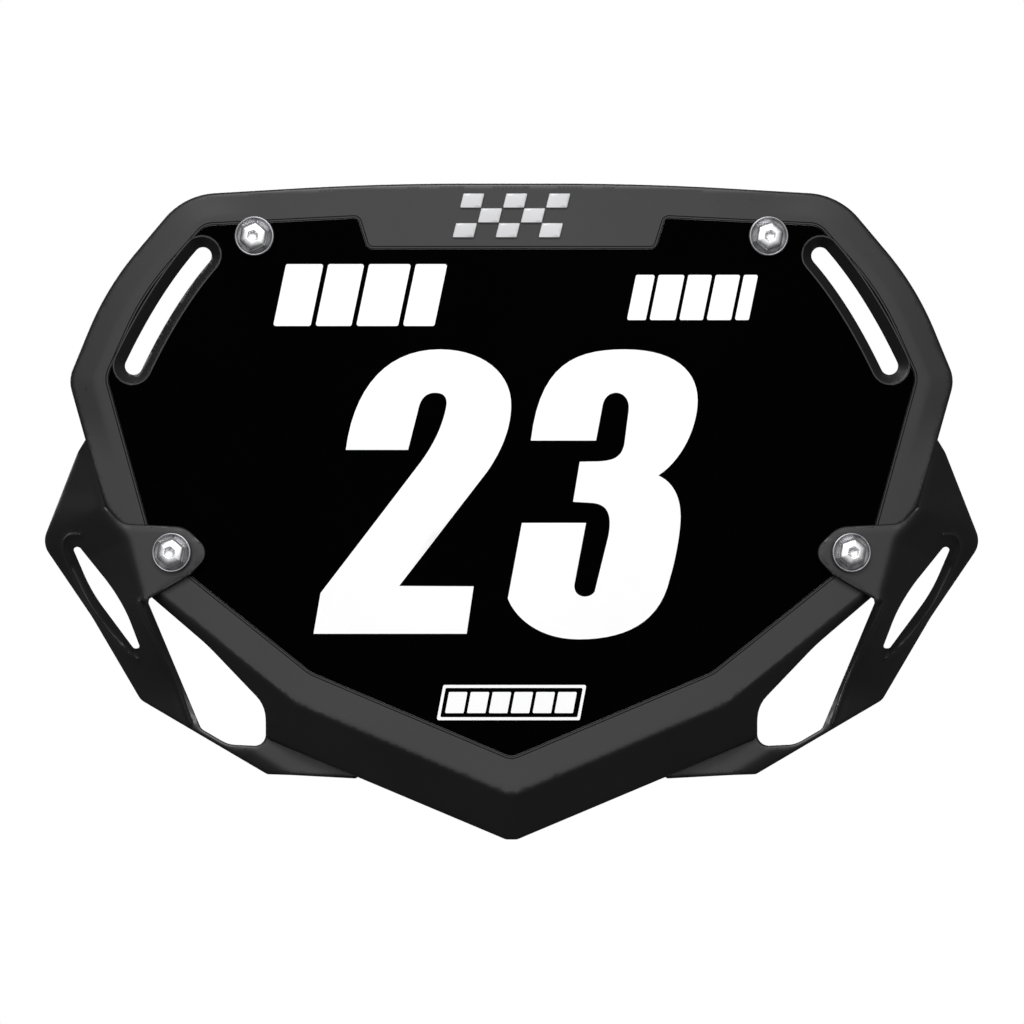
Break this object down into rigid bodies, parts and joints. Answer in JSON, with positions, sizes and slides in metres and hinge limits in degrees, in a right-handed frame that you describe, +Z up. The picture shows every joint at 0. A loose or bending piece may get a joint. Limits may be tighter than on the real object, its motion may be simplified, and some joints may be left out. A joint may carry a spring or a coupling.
{
  "type": "bicycle race number plate",
  "caption": "Race number plate for a BMX handlebar: moulded frame with side wings, bolted number panel, and hook-and-loop straps with rubber pads.",
  "frame": {"origin": "on the axis of the handlebar crossbar that the straps go round, midway between the straps", "axes": "+X along the crossbar, to the right as seen from the front; -Y out of the front face, towards the viewer; +Z up"},
  "size_m": [0.2518, 0.0481, 0.1769],
  "materials": {
    "frame_plastic": "moulded nylon, fine matt texture",
    "wing_plastic": "moulded nylon, satin black",
    "panel_plastic": "polycarbonate sheet, semi-clear",
    "black_film": "black vinyl film",
    "white_film": "white printed vinyl",
    "badge": "raised moulded badge, light grey",
    "steel": "zinc-plated steel",
    "insert_brass": "turned brass",
    "pad_rubber": "soft black rubber",
    "webbing": "hook-and-loop webbing"
  },
  "bodies": {
    "plate": {"face_frame": "frame_plastic", "side_wing_left": "wing_plastic", "side_wing_right": "wing_plastic", "number_panel": "panel_plastic", "background_decal": "black_film", "numeral_2": "white_film", "numeral_3": "white_film", "name_decal": "white_film", "side_decal": "white_film", "foot_decal": "white_film", "top_badge": "badge", "insert_upper_left": "insert_brass", "insert_upper_right": "insert_brass", "insert_lower_left": "insert_brass", "insert_lower_right": "insert_brass", "wing_screw_left": "steel", "bar_pad_left": "pad_rubber", "strap_left": "webbing", "wing_screw_right": "steel", "bar_pad_right": "pad_rubber", "strap_right": "webbing"},
    "washer_upper_left": {"washer_upper_left": "steel"},
    "bolt_upper_left": {"bolt_upper_left": "steel"},
    "washer_upper_right": {"washer_upper_right": "steel"},
    "bolt_upper_right": {"bolt_upper_right": "steel"},
    "washer_lower_left": {"washer_lower_left": "steel"},
    "bolt_lower_left": {"bolt_lower_left": "steel"},
    "washer_lower_right": {"washer_lower_right": "steel"},
    "bolt_lower_right": {"bolt_lower_right": "steel"},
    "strap_tail_left": {"strap_tail_left": "webbing"},
    "strap_tail_right": {"strap_tail_right": "webbing"}
  },
  "joints": [
    {"name": "bolt_out_upper_left", "type": "slide", "parent": "plate", "child": "washer_upper_left", "axis": [-0.1584, -0.9874, 0], "range_m": [0, 0.0069]},
    {"name": "bolt_turn_upper_left", "type": "hinge", "parent": "washer_upper_left", "child": "bolt_upper_left", "pos_m": [-0.0692, -0.02829, 0.034], "axis": [-0.1584, -0.9874, 0], "range_deg": [0, 3600]},
    {"name": "bolt_out_upper_right", "type": "slide", "parent": "plate", "child": "washer_upper_right", "axis": [0.1584, -0.9874, 0], "range_m": [0, 0.0069]},
    {"name": "bolt_turn_upper_right", "type": "hinge", "parent": "washer_upper_right", "child": "bolt_upper_right", "pos_m": [0.0692, -0.02829, 0.034], "axis": [0.1584, -0.9874, 0], "range_deg": [0, 3600]},
    {"name": "bolt_out_lower_left", "type": "slide", "parent": "plate", "child": "washer_lower_left", "axis": [-0.2081, -0.9781, 0], "range_m": [0, 0.0069]},
    {"name": "bolt_turn_lower_left", "type": "hinge", "parent": "washer_lower_left", "child": "bolt_lower_left", "pos_m": [-0.091, -0.02422, -0.0514], "axis": [-0.2081, -0.9781, 0], "range_deg": [0, 3600]},
    {"name": "bolt_out_lower_right", "type": "slide", "parent": "plate", "child": "washer_lower_right", "axis": [0.2081, -0.9781, 0], "range_m": [0, 0.0069]},
    {"name": "bolt_turn_lower_right", "type": "hinge", "parent": "washer_lower_right", "child": "bolt_lower_right", "pos_m": [0.091, -0.02422, -0.0514], "axis": [0.2081, -0.9781, 0], "range_deg": [0, 3600]},
    {"name": "strap_tail_left_hinge", "type": "hinge", "parent": "plate", "child": "strap_tail_left", "pos_m": [-0.046, 0.002, 0.01345], "axis": [-1, 0, 0], "range_deg": [0, 110]},
    {"name": "strap_tail_right_hinge", "type": "hinge", "parent": "plate", "child": "strap_tail_right", "pos_m": [0.046, 0.002, 0.01345], "axis": [-1, 0, 0], "range_deg": [0, 110]}
  ],
  "couplings": [
    {"joint": "bolt_turn_upper_left", "follows": "bolt_out_upper_left", "rad_per_m": 8976},
    {"joint": "bolt_turn_upper_right", "follows": "bolt_out_upper_right", "rad_per_m": 8976},
    {"joint": "bolt_turn_lower_left", "follows": "bolt_out_lower_left", "rad_per_m": 8976},
    {"joint": "bolt_turn_lower_right", "follows": "bolt_out_lower_right", "rad_per_m": 8976}
  ]
}
